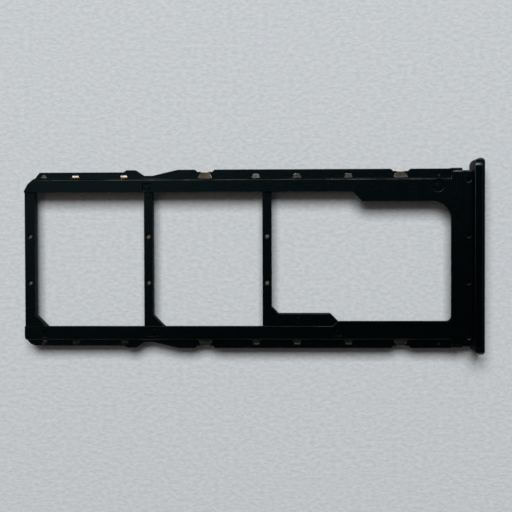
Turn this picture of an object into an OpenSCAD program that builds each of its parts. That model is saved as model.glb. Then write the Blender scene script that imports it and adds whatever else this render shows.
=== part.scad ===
// Three-slot card tray for a telephone: two nano SIM pockets and one micro SD pocket.
// A black moulded frame holds a stamped steel insert, and a cover plate closes the outer end.
// The insertion end is at -X and the cover plate at +X. The contact side is up.
// Widths are measured along Y, heights along Z, and stations along X from the insertion end.

/* [Lengths along the tray] */
// Width of the bar at the insertion end
end_bar_w = 0.84; // [0.6:0.01:1.4]
// Clear length of each nano SIM pocket
sim_pocket_l = 8.87; // [8.8:0.01:9.6]
// Width of the bar between the two nano SIM pockets
divider_1_w = 0.70; // [0.5:0.01:1.2]
// Width of the bar between the nano SIM and micro SD pockets
divider_2_w = 0.73; // [0.5:0.01:1.2]
// Length of the micro SD window between its bar and the front ledge
micro_window_l = 14.37; // [13.5:0.01:15.5]
// Width of the raised front ledge
front_ledge_w = 0.89; // [0.8:0.01:1.6]
// Length of the neck between the front ledge and the cover plate
neck_l = 0.86; // [0.7:0.01:1.6]

/* [Widths across the tray] */
// Clear width of the nano SIM pockets under the ledges
sim_pocket_w = 12.40; // [12.3:0.05:13]
// Thickness of the rail wall beside the nano SIM pockets
rail_wall = 0.32; // [0.25:0.01:0.5]
// Reach of the card ledges over the ends of a nano SIM
ledge_reach = 0.80; // [0.5:0.05:1.1]
// Width of each side wing
wing_w = 0.70; // [0.6:0.02:1]
// Step in of the wings ahead of the catches
lead_inset = 0.19; // [0.1:0.01:0.22]
// Step in of the neck from the edge of the wings
neck_inset = 0.15; // [0.1:0.01:0.4]
// Step out of the front ledge from the edge of the keyed wing
ledge_overhang = 0.05; // [0.01:0.01:0.2]

/* [Heights] */
// Full thickness of the moulded frame
frame_t = 1.35; // [1.25:0.05:1.8]
// Thickness of the ledges that the cards rest on
ledge_t = 0.30; // [0.2:0.05:0.45]
// Drop from the top of the rails to the top of the side wings
wing_drop = 0.50; // [0.4:0.05:0.55]
// Bevel on the outer top edge of the rails
rail_bevel = 0.12; // [0.05:0.01:0.2]

/* [Card pockets] */
// Leg of the cut corner of a nano SIM
sim_corner = 1.65; // [1.4:0.05:1.8]
// Clear width of the micro SD pocket under the ledges
micro_pocket_w = 11.10; // [11:0.05:11.3]
// Width of the micro SD pocket at its contact end
micro_nose_w = 9.82; // [9.7:0.02:10]
// Length of the narrow contact end of the micro SD pocket
micro_nose_l = 4.72; // [4.4:0.02:5.4]
// Leg of the cut corner at the contact end of the micro SD pocket
micro_corner = 0.55; // [0.3:0.05:0.8]
// Reach of the micro SD pocket under the front ledge
micro_undercut = 0.65; // [0.4:0.05:0.7]
// Reach of the upper micro SD ledge over the card
upper_ledge_reach = 0.80; // [0.5:0.05:1.2]
// Distance from the micro SD bar to the upper ledge
upper_ledge_start = 6.49; // [6:0.01:8]
// Reach of the lower micro SD ledge over the card
lower_ledge_reach = 0.70; // [0.4:0.05:1]
// Radius of the upper front corner of the micro SD window
window_r_upper = 1.45; // [0.8:0.05:2]
// Radius of the lower front corner of the micro SD window
window_r_lower = 0.42; // [0.2:0.02:0.8]

/* [Insertion end] */
// Length of the cut on the keyed corner
key_corner_l = 1.20; // [0.8:0.05:1.4]
// Width of the cut on the keyed corner
key_corner_w = 1.52; // [1:0.02:1.8]
// Distance that the keyed corner of the rail stands out from a straight cut
key_knee = 0.11; // [0.05:0.01:0.16]
// Radius of the other corner
plain_corner_r = 0.92; // [0.5:0.02:1]

/* [Catches] */
// Distance from the insertion end to the catch bump
bump_x = 8.28; // [7.8:0.02:8.6]
// Length of the catch bump along its crest
bump_l = 0.72; // [0.4:0.02:0.9]
// Length of the ramp up to the catch bump
bump_ramp_l = 0.24; // [0.1:0.02:0.5]
// Step in of the crest of the catch bump from the edge of the wing
bump_inset = 0.02; // [0:0.01:0.08]
// Length of the ramp from the bump down to the catch notch
notch_entry_l = 0.68; // [0.3:0.02:0.8]
// Length of the floor of the catch notch
notch_l = 0.72; // [0.6:0.02:1.4]
// Depth of the catch notch from the edge of the wing
notch_depth = 0.48; // [0.2:0.01:0.5]
// Length of the ramp from the catch notch out to the wing
notch_exit_l = 2.05; // [1:0.05:2.4]

/* [Steel insert] */
// Thickness of the steel sheet
steel_t = 0.20; // [0.15:0.01:0.25]
// Height of the steel sheet above the underside of the frame
steel_z = 0.45; // [0.4:0.01:0.6]
// Cover of plastic over the outer edge of the sheet
steel_cover = 0.24; // [0.15:0.01:0.3]
// Cover of plastic between the sheet and each pocket
steel_wall = 0.11; // [0.05:0.01:0.15]
// Width of the steel tongue that carries the cover plate
tongue_w = 9.60; // [8:0.1:11]
// Reach of the tongue into the cover plate
tongue_l = 0.50; // [0.3:0.05:0.6]
// Clearance round the tongue in its slot
tongue_clear = 0.02; // [0.01:0.01:0.05]

/* [Carrier tabs] */
// Distance from the insertion end to the first carrier tab
tab_1_x = 14.62; // [14.2:0.02:15.4]
// Distance from the insertion end to the second carrier tab
tab_2_x = 30.40; // [29.8:0.02:31]
// Width of a carrier tab where it leaves the rail
tab_root_w = 1.12; // [0.9:0.02:1.3]
// Width of a carrier tab at its tip
tab_tip_w = 0.62; // [0.4:0.02:0.8]
// Straight length of the window over a tab before it tapers
tab_shoulder = 0.12; // [0.05:0.01:0.2]
// Depth of the notch in the wing at a carrier tab
tab_notch_depth = 0.18; // [0.1:0.01:0.24]
// Length of the floor of that notch
tab_notch_l = 1.20; // [0.9:0.02:1.4]
// Length of each sloping end of that notch
tab_notch_ramp = 0.20; // [0.1:0.01:0.4]

/* [Witness windows] */
// Distance from the insertion end to the first window over the steel in the wings
witness_first_x = 1.53; // [1.4:0.01:1.7]
// Width of the first window
witness_first_w = 0.46; // [0.3:0.02:0.5]
// Distances from the insertion end to the short windows over the steel in the wings
witness_short_x = [4.12, 8.05]; // [2:0.01:8.2]
// Distances from the insertion end to the long windows over the steel in the wings
witness_long_x = [18.75, 22.05, 26.20]; // [16:0.01:29]
// Width of the windows over the steel in the wings
witness_w = 0.70; // [0.4:0.02:0.9]
// Taper of each window towards its outer end
witness_taper = 0.11; // [0:0.01:0.15]
// Distance from the rail to the windows near the insertion end
witness_gap = 0.10; // [0.05:0.01:0.15]
// Reach of the windows near the insertion end from the rail
witness_reach_short = 0.35; // [0.2:0.01:0.38]
// Reach of the windows further along the tray from the rail
witness_reach_long = 0.38; // [0.3:0.01:0.44]
// Distance from the front ledge back to the round window in each wing
witness_round_x = 0.95; // [0.5:0.05:1.5]
// Distance from the rail to the middle of the round window
witness_round_y = 0.24; // [0.2:0.01:0.26]
// Radius of the round window
witness_round_r = 0.13; // [0.08:0.01:0.16]
// Radius of the support pin holes over the steel in the bars
pin_hole_r = 0.17; // [0.1:0.01:0.2]
// Distance of the support pin holes from the middle of the tray
pin_hole_y = 1.88; // [1:0.02:3]
// Distance of the outer pair of pin holes in the neck from the middle of the tray
neck_pin_y = 6.30; // [5.6:0.02:6.5]
// Distance from the neck's pin holes to the cover plate
neck_pin_setback = 0.34; // [0.3:0.02:0.6]
// Plastic left between the neck's pin holes and the steel
neck_pin_floor = 0.10; // [0.05:0.01:0.15]

/* [Rests on the bars and ledges] */
// Length of the small rest at the keyed end of the first divider
rest_l = 0.42; // [0.3:0.02:0.5]
// Width of the rest
rest_w = 0.40; // [0.2:0.02:0.8]
// Height of the rest above the bar
rest_h = 0.12; // [0.05:0.01:0.25]
// Distance from the micro SD bar to the two nubs on the narrow ledge
nub_x = 2.14; // [1.5:0.01:3]
// Radius of the nubs
nub_r = 0.11; // [0.06:0.01:0.14]
// Height of the nubs above the ledge
nub_h = 0.10; // [0.05:0.01:0.2]
// Distance between the nubs, across the tray
nub_pitch = 0.42; // [0.3:0.01:0.5]
// Distance from the rail to the nearer nub
nub_gap = 0.17; // [0.15:0.01:0.3]

/* [Moulding pits] */
// Thickness left under the pits in the rails
pit_floor = 0.08; // [0.04:0.01:0.12]
// Length of the square pit in the keyed rail
square_pit_l = 0.70; // [0.5:0.02:0.8]
// Width of the square pit in the keyed rail
square_pit_w = 0.60; // [0.4:0.02:0.7]
// Distance from the first divider to the middle of the square pit
square_pit_x = 0.27; // [0.1:0.01:0.5]
// Distance from the edge of the ledge to the middle of the square pit
square_pit_y = 0.40; // [0.35:0.01:0.6]
// Length of the long pit in the plain rail
long_pit_l = 1.00; // [0.6:0.02:1.3]
// Width of the long pit in the plain rail
long_pit_w = 0.70; // [0.4:0.02:0.75]
// Distance from the first divider to the middle of the long pit
long_pit_x = 0.79; // [0.4:0.01:1.2]
// Distance from the edge of the ledge to the middle of the long pit
long_pit_y = 0.45; // [0.4:0.01:0.6]
// Length of the corner pit in the plain rail
corner_pit_l = 0.48; // [0.3:0.02:0.7]
// Width of the corner pit in the plain rail
corner_pit_w = 0.56; // [0.4:0.02:0.7]
// Distance from the insertion end to the middle of the corner pit
corner_pit_x = 1.76; // [1.2:0.01:2.4]
// Distance from the edge of the ledge to the middle of the corner pit
corner_pit_y = 0.62; // [0.4:0.01:0.65]
// Length of the small pit in the plain rail
small_pit_l = 0.54; // [0.3:0.02:0.7]
// Width of the small pit in the plain rail
small_pit_w = 0.60; // [0.4:0.02:0.7]
// Distance from the micro SD bar to the middle of the small pit
small_pit_x = 5.32; // [5:0.01:6]
// Distance from the edge of the ledge to the middle of the small pit
small_pit_y = 0.48; // [0.4:0.01:0.6]
// Radius of the round pit near the front of the keyed rail
round_pit_r = 0.50; // [0.4:0.02:0.6]
// Distance from the front ledge back to the middle of the round pit
round_pit_x = 1.04; // [0.8:0.01:1.6]
// Distance from the outer side of the rail to the middle of the round pit
round_pit_y = 0.67; // [0.65:0.01:1]
// Radius of the peg left standing in a pit
peg_r = 0.20; // [0.1:0.02:0.28]
// Radius of the peg in the small pit
small_peg_r = 0.13; // [0.08:0.01:0.2]
// Depth of the top of a peg below the rail
peg_drop = 0.06; // [0.02:0.01:0.1]

/* [Cover plate] */
// Thickness of the cover plate along the tray
cover_t = 0.83; // [0.8:0.01:1.4]
// Overhang of the cover plate past the wing on the keyed side
cover_overhang_keyed = 0.80; // [0.4:0.01:1.5]
// Overhang of the cover plate past the other wing
cover_overhang_plain = 0.46; // [0.4:0.01:1.5]
// Rise of the cover plate above and below the frame
cover_rise = 1.00; // [0.3:0.05:1.4]
// Radius of the ends of the plate seen from the front
cover_end_r = 0.65; // [0.3:0.05:1]
// Radius of the inner corners of the plate seen from above
cover_back_r = 0.52; // [0.2:0.02:0.6]
// Radius of the outer corners of the plate seen from above
cover_front_r = 0.28; // [0.1:0.01:0.3]
// Radius of the long outer edges of the plate
cover_edge_r = 0.28; // [0.1:0.02:0.4]

/* [Hidden] */
$fn = 48;
// Overrun of a cutting shape past the face that it opens
over = 0.5;
// Long enough for a shape that is trimmed by another
far = 60;

// Stations along X from the insertion end
sim_1_x = end_bar_w;
divider_1_x = sim_1_x + sim_pocket_l;
sim_2_x = divider_1_x + divider_1_w;
divider_2_x = sim_2_x + sim_pocket_l;
micro_x = divider_2_x + divider_2_w;
ledge_x = micro_x + micro_window_l;
neck_x = ledge_x + front_ledge_w;
cover_x = neck_x + neck_l;
total_l = cover_x + cover_t;

// Widths over the rails, the ledges, the wings, the neck and the cover plate, and the plate's middle
rail_span = sim_pocket_w + 2 * rail_wall;
ledge_gap = sim_pocket_w - 2 * ledge_reach;
wing_span = rail_span + 2 * wing_w;
neck_span = wing_span - 2 * neck_inset;
cover_l = wing_span + cover_overhang_keyed + cover_overhang_plain;
cover_y = (cover_overhang_keyed - cover_overhang_plain) / 2;

// Heights above the underside of the frame
bar_top = frame_t - ledge_t;
wing_top = frame_t - wing_drop;
steel_top = steel_z + steel_t;
pit_z = bar_top + pit_floor;
cover_h = frame_t + 2 * cover_rise;

// Limits of the micro SD pocket across the tray, with its keyed side against the rail
micro_y_top = ledge_gap / 2;
micro_y_bottom = micro_y_top - micro_pocket_w;
micro_nose_y = micro_y_top - micro_nose_w;
upper_ledge_y = micro_y_top - upper_ledge_reach;
lower_ledge_y = micro_y_bottom + lower_ledge_reach;

// Stations of the catches
notch_x = bump_x + bump_l + notch_entry_l;
notch_end_x = notch_x + notch_l;

// Carrier tabs: stations, and the edge that the tabs and their notches share
tab_stations = [tab_1_x, tab_2_x];
tab_y = wing_span / 2 - tab_notch_depth;

// Station of the pin holes in the neck, and stations of those in the bars
neck_pin_x = cover_x - neck_pin_setback;
bar_pin_stations = [end_bar_w / 2, divider_1_x + divider_1_w / 2, divider_2_x + divider_2_w / 2];

// Places of the pits in the rails
square_pit_at = [divider_1_x + square_pit_x, ledge_gap / 2 + square_pit_y];
long_pit_at = [divider_1_x + long_pit_x, -ledge_gap / 2 - long_pit_y];
corner_pit_at = [corner_pit_x, -ledge_gap / 2 - corner_pit_y];
small_pit_at = [micro_x + small_pit_x, -ledge_gap / 2 - small_pit_y];
round_pit_at = [ledge_x - round_pit_x, rail_span / 2 - round_pit_y];

// One side of the outline from the insertion end up to the first carrier tab
function catch_points(inset, edge = wing_span / 2) = [
    [inset, edge - lead_inset - inset],
    [bump_x - bump_ramp_l, edge - lead_inset - inset],
    [bump_x, edge - bump_inset - inset],
    [bump_x + bump_l, edge - bump_inset - inset],
    [notch_x, edge - notch_depth - inset],
    [notch_end_x, edge - notch_depth - inset],
    [notch_end_x + notch_exit_l, edge - inset],
];

// The shallow notch in the wing that leaves a carrier tab at the edge
function tab_notch_points(x) = [
    [x - tab_notch_l / 2 - tab_notch_ramp, wing_span / 2],
    [x - tab_notch_l / 2, tab_y],
    [x + tab_notch_l / 2, tab_y],
    [x + tab_notch_l / 2 + tab_notch_ramp, wing_span / 2],
];

// A carrier tab on the edge of the steel, flush with the floor of its notch
function tab_points(x, edge) = [
    [x - tab_root_w / 2, edge],
    [x - tab_tip_w / 2, tab_y],
    [x + tab_tip_w / 2, tab_y],
    [x + tab_root_w / 2, edge],
];

// One side of the outline of the moulded frame, up to the front ledge
frame_side = [
    each catch_points(0),
    for (x = tab_stations) each tab_notch_points(x),
    [ledge_x, wing_span / 2],
];

// One side of the outline of the steel, from the insertion end to the tip of the tongue
steel_edge = tab_y - steel_cover / 2;
steel_side = [
    each catch_points(steel_cover),
    [notch_end_x + notch_exit_l, steel_edge],
    for (x = tab_stations) each tab_points(x, steel_edge),
    [neck_x, steel_edge],
    [neck_x, neck_span / 2 - steel_cover],
    [cover_x - steel_wall, neck_span / 2 - steel_cover],
    [cover_x - steel_wall, tongue_w / 2],
    [cover_x + tongue_l, tongue_w / 2],
];

// Closes one side of an outline with its mirror image
function mirrored(side) = concat(side, [for (i = [len(side) - 1:-1:0]) [side[i][0], -side[i][1]]]);

// Repeats a shape on both sides of the tray
module both_sides() {
    children();
    mirror([0, 1]) children();
}

// Fills the square corner outside an arc, with the corner at the origin and the arc towards -X, -Y
module corner_filler(r) {
    translate([-r, -r]) difference() {
        square(r + over);
        circle(r);
    }
}

// Cuts the keyed corner of the insertion end along a slope
module key_cut(inset) {
    half = wing_span / 2 - lead_inset;
    slope = [key_corner_l, key_corner_w];
    low = [0, half - key_corner_w] - slope;
    high = [key_corner_l, half] + slope;
    inward = [key_corner_w, -key_corner_l] / norm(slope);
    translate(inset * inward) polygon([low, high, [low[0], high[1]]]);
}

// Cuts the plain corner of the insertion end along an arc
module plain_cut(inset) {
    translate([inset, inset + lead_inset - wing_span / 2])
        rotate(180) corner_filler(plain_corner_r - inset);
}

// Cuts the corner of the keyed rail, with a knee that stands out from a straight cut
module rail_corner() {
    half = wing_span / 2 - lead_inset;
    slope = [key_corner_l, key_corner_w];
    low = [0, half - key_corner_w];
    high = low + slope * (rail_span / 2 - low[1]) / key_corner_w;
    outward = [-key_corner_w, key_corner_l] / norm(slope);
    knee = (low + high) / 2 + key_knee * outward;
    polygon([low, knee, high, high + slope, [-far, far], [-far, low[1]]]);
}

// Outline of the moulded frame from above, up to the front ledge
module frame_outline() {
    difference() {
        polygon(mirrored(frame_side));
        key_cut(0);
        plain_cut(0);
    }
}

// Clear shape of a nano SIM pocket that starts at x, grown by a margin
module sim_pocket(x, margin) {
    difference() {
        translate([x - margin, -sim_pocket_w / 2 - margin])
            square([sim_pocket_l + 2 * margin, sim_pocket_w + 2 * margin]);
        translate([x, -sim_pocket_w / 2] - [margin, margin] / sqrt(2)) polygon([
            [-over, -over], [sim_corner + over, -over], [-over, sim_corner + over]]);
    }
}

// Clear shape of the micro SD pocket, grown by a margin
module micro_pocket(margin) {
    step = micro_nose_y - micro_y_bottom;
    nose_end = micro_x + micro_nose_l - margin * (sqrt(2) - 1);
    polygon([
        [micro_x - margin, micro_y_top + margin],
        [ledge_x + micro_undercut + margin, micro_y_top + margin],
        [ledge_x + micro_undercut + margin, micro_y_bottom - margin],
        [nose_end + step, micro_y_bottom - margin],
        [nose_end, micro_nose_y - margin],
        [micro_x + micro_corner - margin * (sqrt(2) - 1), micro_nose_y - margin],
        [micro_x - margin, micro_nose_y + micro_corner - margin * (sqrt(2) - 1)]]);
}

// All three pockets below the ledges
module pockets(margin = 0) {
    sim_pocket(sim_1_x, margin);
    sim_pocket(sim_2_x, margin);
    micro_pocket(margin);
}

// Open shape between the ledges, over the bars and all three pockets
module ledge_opening() {
    start = micro_x + upper_ledge_start;
    lower_step = ledge_gap / 2 + lower_ledge_y;
    lower_start = micro_x + micro_nose_l + micro_nose_y - lower_ledge_y;
    difference() {
        polygon([
            [-over, ledge_gap / 2],
            [start, ledge_gap / 2],
            [start + upper_ledge_reach, upper_ledge_y],
            [ledge_x, upper_ledge_y],
            [ledge_x, lower_ledge_y],
            [lower_start, lower_ledge_y],
            [lower_start - lower_step, -ledge_gap / 2],
            [-over, -ledge_gap / 2]]);
        translate([ledge_x, upper_ledge_y]) corner_filler(window_r_upper);
        translate([ledge_x, lower_ledge_y]) mirror([0, 1]) corner_filler(window_r_lower);
    }
}

// Section of the two rails and what lies between them, with bevelled outer edges
module rail_section(height) {
    half = rail_span / 2;
    polygon([
        [-half, 0], [half, 0],
        [half, height - rail_bevel], [half - rail_bevel, height],
        [-half + rail_bevel, height], [-half, height - rail_bevel]]);
}

// Runs a section in Y and Z along X from the insertion end
module along_tray(length) {
    rotate([90, 0, 90]) linear_extrude(length) children();
}

// The rails, bars and ledges as one block with its pockets open
module rail_body() {
    difference() {
        intersection() {
            along_tray(ledge_x + over / 2) rail_section(frame_t);
            linear_extrude(far) difference() {
                polygon(mirrored(frame_side));
                rail_corner();
                plain_cut(0);
            }
        }
        translate([0, 0, -over]) linear_extrude(bar_top + over) pockets();
        translate([0, 0, bar_top]) linear_extrude(far) ledge_opening();
    }
}

// The side wings that run in the guides of the telephone
module wings() {
    linear_extrude(wing_top) difference() {
        frame_outline();
        translate([-over, -rail_span / 2]) square([far, rail_span]);
    }
}

// The raised front ledge, open underneath for the end of the micro SD card
module front_ledge() {
    difference() {
        translate([ledge_x, -wing_span / 2, 0])
            cube([front_ledge_w, wing_span + ledge_overhang, frame_t]);
        translate([0, 0, -over]) linear_extrude(bar_top + over) pockets();
    }
}

// The lower neck behind the cover plate
module neck() {
    translate([neck_x, -neck_span / 2, 0]) cube([neck_l, neck_span, bar_top]);
}

// The small rest on the bar at the keyed end of the first divider
module divider_rest() {
    translate([divider_1_x + (divider_1_w - rest_l) / 2, ledge_gap / 2 - rest_w, bar_top])
        cube([rest_l, rest_w, rest_h]);
}

// The two small nubs on the narrow ledge beside the contact end of the micro SD pocket
module ledge_nubs() {
    for (y = [0, nub_pitch])
        translate([micro_x + nub_x, nub_gap + y - ledge_gap / 2, bar_top]) cylinder(r = nub_r, h = nub_h);
}

// Clearance over a carrier tab, from the rail to past the edge of the wing
module tab_window() {
    root = rail_span / 2;
    polygon([
        [-tab_root_w / 2, root], [tab_root_w / 2, root],
        [tab_root_w / 2, root + tab_shoulder], [tab_tip_w / 2, tab_y],
        [tab_tip_w / 2, tab_y + over], [-tab_tip_w / 2, tab_y + over],
        [-tab_tip_w / 2, tab_y], [-tab_root_w / 2, root + tab_shoulder]]);
}

// Window over the steel in a wing, with its wide side towards the rail
module witness_shape(width, gap, reach) {
    root = rail_span / 2;
    polygon([
        [-width / 2, root + gap], [width / 2, root + gap],
        [width / 2 - witness_taper, root + reach],
        [-width / 2 + witness_taper, root + reach]]);
}

// A pair of pin holes on both sides of the tray, above and below the steel, with a floor left over it
module pin_hole_pair(x, y, floor_t) {
    for (side = [-1, 1]) translate([x, side * y, 0]) {
        translate([0, 0, steel_top + floor_t]) cylinder(r = pin_hole_r, h = far);
        translate([0, 0, -over]) cylinder(r = pin_hole_r, h = over + steel_z - floor_t);
    }
}

// Holes left by the pins that held the steel in the mould
module support_pin_holes() {
    for (x = bar_pin_stations) pin_hole_pair(x, pin_hole_y, 0);
    for (y = [pin_hole_y, neck_pin_y]) pin_hole_pair(neck_pin_x, y, neck_pin_floor);
}

// Openings above the steel in the wings: windows and tab clearances
module wing_openings() {
    translate([0, 0, steel_top]) linear_extrude(far) both_sides() {
        translate([witness_first_x, 0]) witness_shape(witness_first_w, witness_gap, witness_reach_short);
        for (x = witness_short_x)
            translate([x, 0]) witness_shape(witness_w, witness_gap, witness_reach_short);
        for (x = witness_long_x) translate([x, 0]) witness_shape(witness_w, 0, witness_reach_long);
        for (x = tab_stations) translate([x, 0]) tab_window();
        translate([ledge_x - witness_round_x, rail_span / 2 + witness_round_y]) circle(witness_round_r);
    }
}

// A pit with straight sides in the top of a rail
module square_pit(at, length, width) {
    translate([at[0] - length / 2, at[1] - width / 2, pit_z]) cube([length, width, far]);
}

// A peg that stands on the floor of a pit
module peg(at, r = peg_r) {
    translate([at[0], at[1], bar_top]) cylinder(r = r, h = ledge_t - peg_drop);
}

// All the pits in the two rails
module rail_pits() {
    square_pit(square_pit_at, square_pit_l, square_pit_w);
    square_pit(long_pit_at, long_pit_l, long_pit_w);
    square_pit(corner_pit_at, corner_pit_l, corner_pit_w);
    square_pit(small_pit_at, small_pit_l, small_pit_w);
    translate([round_pit_at[0], round_pit_at[1], pit_z]) cylinder(r = round_pit_r, h = far);
}

// The stamped steel ladder in the plane of the wings, with its tongue
module steel_shape() {
    difference() {
        polygon(mirrored(steel_side));
        key_cut(steel_cover);
        plain_cut(steel_cover);
        pockets(steel_wall);
    }
}

module steel_solid() {
    translate([0, 0, steel_z]) linear_extrude(steel_t) steel_shape();
}

// Rounded rectangle about the origin
module rounded(length, width, r) {
    square([length - 2 * r, width], center = true);
    square([length, width - 2 * r], center = true);
    for (x = [-1, 1], y = [-1, 1])
        translate([x * (length / 2 - r), y * (width / 2 - r)]) circle(r);
}

// Moves a shape from the insertion end and the frame's own height to the origin under the cover plate
module placed() {
    translate([-total_l / 2, -cover_y, cover_rise]) children();
}

module moulded_frame() {
    color([0.07, 0.09, 0.09]) placed() {
        difference() {
            union() {
                rail_body();
                wings();
                front_ledge();
                neck();
            }
            steel_solid();
            wing_openings();
            support_pin_holes();
            rail_pits();
        }
        divider_rest();
        ledge_nubs();
        peg(square_pit_at);
        peg(long_pit_at);
        peg(round_pit_at);
        peg(small_pit_at, small_peg_r);
    }
}

module steel_insert() {
    color([0.74, 0.72, 0.68]) placed() steel_solid();
}

// The plate's outline from above, with tight outer corners and wide inner ones
module cover_plan() {
    difference() {
        translate([0, -cover_l / 2]) square([cover_t, cover_l]);
        both_sides() {
            translate([cover_t, cover_l / 2]) corner_filler(cover_front_r);
            translate([0, cover_l / 2]) mirror([1, 0]) corner_filler(cover_back_r);
        }
    }
}

// The plate's outline from one end, with rounded outer edges
module cover_profile() {
    difference() {
        square([cover_t, cover_h]);
        translate([cover_t, cover_h]) corner_filler(cover_edge_r);
        translate([cover_t, 0]) mirror([0, 1]) corner_filler(cover_edge_r);
    }
}

module faceplate() {
    color([0.10, 0.13, 0.15]) translate([cover_x - total_l / 2, 0, 0]) difference() {
        intersection() {
            linear_extrude(cover_h) cover_plan();
            translate([0, cover_l / 2, 0]) rotate([90, 0, 0]) linear_extrude(cover_l) cover_profile();
            translate([0, 0, cover_h / 2]) along_tray(cover_t) rounded(cover_l, cover_h, cover_end_r);
        }
        translate([-over, -tongue_w / 2 - tongue_clear - cover_y, cover_rise + steel_z - tongue_clear])
            cube([over + tongue_l + tongue_clear, tongue_w + 2 * tongue_clear, steel_t + 2 * tongue_clear]);
    }
}

moulded_frame();
steel_insert();
faceplate();
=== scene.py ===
"""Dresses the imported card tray: the moulding, its stamped steel and the cover plate on a pale sheet."""

import logging
import math
from collections.abc import Callable, Sequence
from dataclasses import dataclass, field
from enum import Enum

import bmesh
import bpy
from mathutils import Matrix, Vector


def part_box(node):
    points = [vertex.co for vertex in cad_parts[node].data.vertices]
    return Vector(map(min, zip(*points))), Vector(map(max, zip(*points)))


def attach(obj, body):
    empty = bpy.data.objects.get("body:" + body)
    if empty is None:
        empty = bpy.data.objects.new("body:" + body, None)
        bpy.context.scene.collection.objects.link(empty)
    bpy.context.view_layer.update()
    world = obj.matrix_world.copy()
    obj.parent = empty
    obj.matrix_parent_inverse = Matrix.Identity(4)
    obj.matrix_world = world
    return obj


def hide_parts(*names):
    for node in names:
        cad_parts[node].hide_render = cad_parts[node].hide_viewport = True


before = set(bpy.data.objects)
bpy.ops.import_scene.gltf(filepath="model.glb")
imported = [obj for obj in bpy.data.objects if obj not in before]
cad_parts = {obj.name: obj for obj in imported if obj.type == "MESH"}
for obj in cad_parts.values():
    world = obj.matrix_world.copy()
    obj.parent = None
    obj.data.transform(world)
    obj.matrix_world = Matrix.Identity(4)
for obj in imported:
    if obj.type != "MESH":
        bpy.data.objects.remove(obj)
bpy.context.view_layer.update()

LOG = logging.getLogger("card_tray")
BODY = "root"
# A millimetre and a micrometre in the scene's metres
MM = 0.001
MICRON = 0.001 * MM
# Slots of a piece's finishes after the first, which covers it: its rounded edges, its walls, and
# the darkened steel that is painted shade in the pin holes, on the plain side's pads and, darker
# still, in the small round windows of the wings
RUBBED = 1
WALLS = 2
PAINTED_SHADE = 2
DEEP_PAINTED_SHADE = 3
# Width of a rounding at full edge weight, in millimetres
WIDEST = 0.65
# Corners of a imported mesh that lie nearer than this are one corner, in millimetres
DOUBLED = 0.0001
# Places that lie nearer than this are the same place, in millimetres
SLACK = 0.001
# Neighbouring faces that turn less than this are one flat face, in degrees
FLAT_TURN = 1.0
# Least upright part of a level face's normal, and greatest upright part of a wall's
LEVEL_NORMAL = 0.99
WALL_NORMAL = 0.5

# A colour as linear red, green and blue, a stretch along X, Y and Z, and a range from low to high
Colour = tuple[float, float, float]
Stretch = tuple[float, float, float]
Span = tuple[float, float]

WHITE: Colour = (1.0, 1.0, 1.0)
UNSTRETCHED: Stretch = (1.0, 1.0, 1.0)
WHOLE: Span = (0.0, 1.0)
# Most of the values of a noise lie in this range
MIDDLE: Span = (0.3, 0.7)
# The plain side of the tray and the keyed side, as signs along Y
SIDES = (-1.0, 1.0)


class Height(Enum):
    """Levels of the moulding, in millimetres above the underside of the frame."""

    UNDERSIDE = 0.0
    STEEL_BOTTOM = 0.45
    STEEL_TOP = 0.65
    BAR_TOP = 1.05
    RAIL_TOP = 1.35


class Slot(Enum):
    """Material slots of the record."""

    PLASTIC = "black_plastic"
    STEEL = "stamped_steel"
    COVER = "black_cover"


@dataclass(frozen=True)
class TrayPlan:
    """Places on the frame, in millimetres along it from the insertion end and across it from its middle.

    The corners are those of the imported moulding's box, in metres.
    """

    corners: tuple[Vector, Vector] = field(default_factory=lambda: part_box("moulded_frame"))
    front_ledge: float = 34.38
    neck: float = 35.27
    cover: float = 36.13
    rail_edge: float = 6.52
    wing_edge: float = 7.22
    ledge_edge: float = 7.27
    neck_edge: float = 7.07
    rail_chamfer: float = 0.12

    def x(self, station: float) -> float:
        """Turns a distance from the insertion end into metres along X."""
        return self.corners[0].x + station * MM

    def y(self, across: float) -> float:
        """Turns a distance from the frame's middle into metres along Y."""
        return self.corners[0].y + (self.wing_edge + across) * MM

    def z(self, height: float) -> float:
        """Turns a height above the frame's underside into metres along Z."""
        return self.corners[0].z + height * MM

    def level(self, height: Height) -> float:
        """Gives the place of one of the moulding's levels along Z, in metres."""
        return self.z(height.value)

    def off_middle(self, place: Vector) -> float:
        """Gives how far a place lies from the frame's middle across the tray, in metres."""
        return abs(place.y - self.y(0.0))


def deselect_everything() -> None:
    """Leaves no object selected, so that an operator acts only on what is picked next."""
    if bpy.context.object and bpy.context.object.mode != "OBJECT":
        bpy.ops.object.mode_set(mode="OBJECT")
    bpy.ops.object.select_all(action="DESELECT")


def take_up(piece: bpy.types.Object) -> None:
    """Selects one object alone and makes it active.

    Args:
        piece: The object that the next operators act on.
    """
    deselect_everything()
    piece.select_set(True)
    bpy.context.view_layer.objects.active = piece


def enter_edit(piece: bpy.types.Object, mode: str = "EDGE") -> None:
    """Opens a piece in edit mode with nothing selected.

    Args:
        piece: The object to edit.
        mode: What is picked: VERT, EDGE or FACE.
    """
    take_up(piece)
    bpy.ops.object.mode_set(mode="EDIT")
    bpy.ops.mesh.select_mode(type=mode)
    bpy.ops.mesh.select_all(action="DESELECT")


def leave_edit() -> None:
    """Closes edit mode."""
    bpy.ops.object.mode_set(mode="OBJECT")


def pick_edges(piece: bpy.types.Object, rule: Callable[[bmesh.types.BMEdge], bool]) -> int:
    """Selects the edges of a piece in edit mode that a rule accepts.

    Args:
        piece: The object that is in edit mode.
        rule: Says whether an edge is wanted.

    Returns:
        How many edges were picked.
    """
    mesh = bmesh.from_edit_mesh(piece.data)
    picked = 0
    for edge in mesh.edges:
        wanted = rule(edge)
        edge.select_set(wanted)
        picked += wanted
    bmesh.update_edit_mesh(piece.data)
    return picked


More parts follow.
